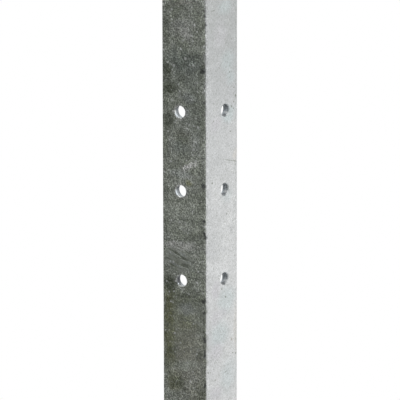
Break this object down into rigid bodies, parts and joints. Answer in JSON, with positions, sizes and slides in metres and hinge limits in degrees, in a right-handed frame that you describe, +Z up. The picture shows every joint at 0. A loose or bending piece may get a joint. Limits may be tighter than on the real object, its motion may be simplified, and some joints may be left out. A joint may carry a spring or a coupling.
{
  "type": "steel angle fence post",
  "caption": "Galvanised steel fence post: an equal-leg L section with square-cut ends and punched bolt holes paired at the same heights in both flanges.",
  "frame": {"origin": "on the heel line, the outer corner of the angle, at the foot end of the post", "axes": "+Z up the post, +X along the flange whose outer face looks along -Y, +Y along the flange whose outer face looks along -X"},
  "size_m": [0.04, 0.04, 1.5],
  "materials": {
    "galvanised_steel": "hot-dip galvanised, weathered to a mottled satin grey"
  },
  "bodies": {
    "root": {"angle_post": "galvanised_steel"}
  },
  "joints": []
}
